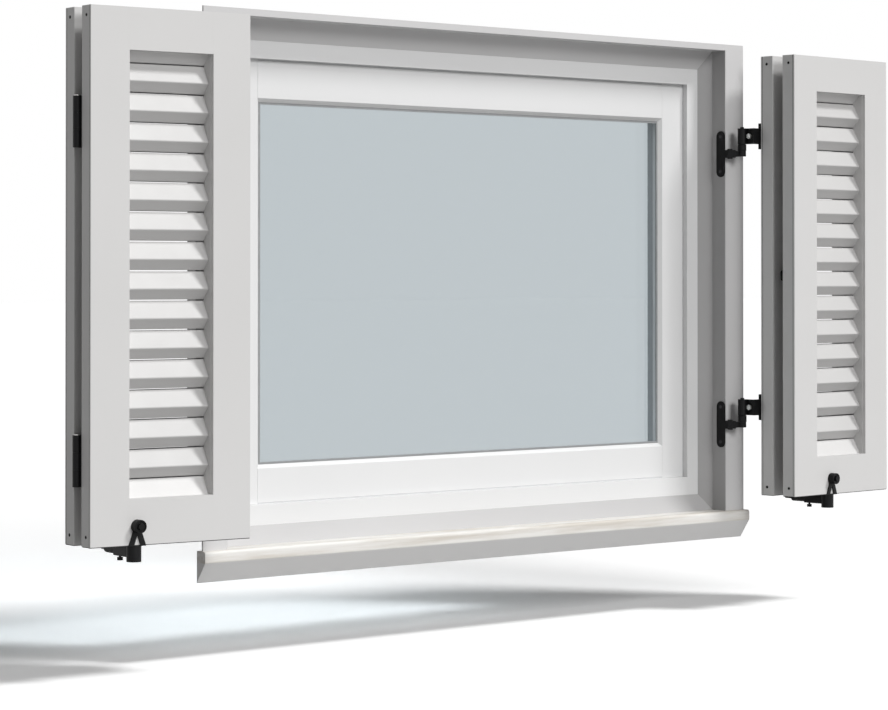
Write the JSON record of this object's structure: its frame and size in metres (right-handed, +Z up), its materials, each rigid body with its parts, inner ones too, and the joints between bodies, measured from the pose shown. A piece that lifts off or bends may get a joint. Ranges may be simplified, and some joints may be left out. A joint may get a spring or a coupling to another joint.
{
  "type": "folding louvred window shutters",
  "caption": "Pair of bi-fold louvred shutters on pintle hinges, in a splayed window surround with a sill and a fixed glazed light, folded open.",
  "frame": {"origin": "middle of the opening on the street face of the surround, at mid height of the leaves", "axes": "+X along the wall to the right as seen from the street, +Y into the wall, +Z up"},
  "size_m": [2.2264, 0.2915, 1.1298],
  "materials": {
    "leaves": "satin powder coat",
    "slats": "satin powder coat",
    "surround": "satin powder coat",
    "stone": "cast stone, matt",
    "window": "smooth white",
    "glass": "clear",
    "hardware": "black powder coat",
    "steel": "plain steel"
  },
  "bodies": {
    "surround": {"bottom_lining": "surround", "glass_pane": "glass", "glazing_beads": "window", "head_lining": "surround", "jamb_plate_screws": "hardware", "left_jamb_lining": "surround", "left_jamb_plates": "hardware", "left_pintles": "hardware", "left_sash_side": "window", "left_window_frame_side": "window", "right_jamb_lining": "surround", "right_jamb_plates": "hardware", "right_pintles": "hardware", "right_sash_side": "window", "right_window_frame_side": "window", "sash_bottom": "window", "sash_head": "window", "sill": "stone", "window_frame_bottom": "window", "window_frame_head": "window"},
    "left_rear_leaf": {"left_fold_hinge_pins": "steel", "left_fold_hinge_rear_flaps": "hardware", "left_hinge_straps": "hardware", "left_rear_leaf_bottom_rail": "leaves", "left_rear_leaf_inner_stile": "leaves", "left_rear_leaf_outer_stile": "leaves", "left_rear_leaf_slats": "slats", "left_rear_leaf_top_rail": "leaves", "left_strap_bolts": "steel"},
    "left_front_leaf": {"left_fold_hinge_front_flaps": "hardware", "left_front_leaf_bottom_rail": "leaves", "left_front_leaf_inner_stile": "leaves", "left_front_leaf_outer_stile": "leaves", "left_front_leaf_slats": "slats", "left_front_leaf_top_rail": "leaves", "left_stay_bracket": "hardware"},
    "left_stay_arm": {"left_stay_rod": "hardware", "left_stay_screw": "hardware", "left_stay_sleeve": "hardware"},
    "right_rear_leaf": {"right_fold_hinge_pins": "steel", "right_fold_hinge_rear_flaps": "hardware", "right_hinge_straps": "hardware", "right_rear_leaf_bottom_rail": "leaves", "right_rear_leaf_inner_stile": "leaves", "right_rear_leaf_outer_stile": "leaves", "right_rear_leaf_slats": "slats", "right_rear_leaf_top_rail": "leaves", "right_strap_bolts": "steel"},
    "right_front_leaf": {"right_fold_hinge_front_flaps": "hardware", "right_front_leaf_bottom_rail": "leaves", "right_front_leaf_inner_stile": "leaves", "right_front_leaf_outer_stile": "leaves", "right_front_leaf_slats": "slats", "right_front_leaf_top_rail": "leaves", "right_inner_pull": "hardware", "right_stay_bracket": "hardware"},
    "right_stay_arm": {"right_stay_rod": "hardware", "right_stay_screw": "hardware", "right_stay_sleeve": "hardware"}
  },
  "joints": [
    {"name": "left_swing", "type": "hinge", "parent": "surround", "child": "left_rear_leaf", "pos_m": [-0.7253, -0.0302, 0], "axis": [0, 0, 1], "range_deg": [0, 184.36]},
    {"name": "left_fold", "type": "hinge", "parent": "left_rear_leaf", "child": "left_front_leaf", "pos_m": [-1.1052, -0.08282, 0], "axis": [0, 0, -1], "range_deg": [0, 180]},
    {"name": "left_stay_turn", "type": "hinge", "parent": "left_front_leaf", "child": "left_stay_arm", "pos_m": [-1.00831, -0.12747, -0.517], "axis": [0, 0, -1], "range_deg": [0, 90]},
    {"name": "right_swing", "type": "hinge", "parent": "surround", "child": "right_rear_leaf", "pos_m": [0.7253, -0.0302, 0], "axis": [0, 0, -1], "range_deg": [0, 184.36]},
    {"name": "right_fold", "type": "hinge", "parent": "right_rear_leaf", "child": "right_front_leaf", "pos_m": [1.1052, -0.08282, 0], "axis": [0, 0, 1], "range_deg": [0, 180]},
    {"name": "right_stay_turn", "type": "hinge", "parent": "right_front_leaf", "child": "right_stay_arm", "pos_m": [0.89514, -0.13609, -0.517], "axis": [0, 0, 1], "range_deg": [0, 90]}
  ],
  "couplings": [
    {"joint": "left_fold", "follows": "left_swing", "ratio": 0.9763},
    {"joint": "left_stay_turn", "follows": "left_swing", "ratio": 0.488},
    {"joint": "right_fold", "follows": "right_swing", "ratio": 0.9763},
    {"joint": "right_stay_turn", "follows": "right_swing", "ratio": 0.488}
  ]
}
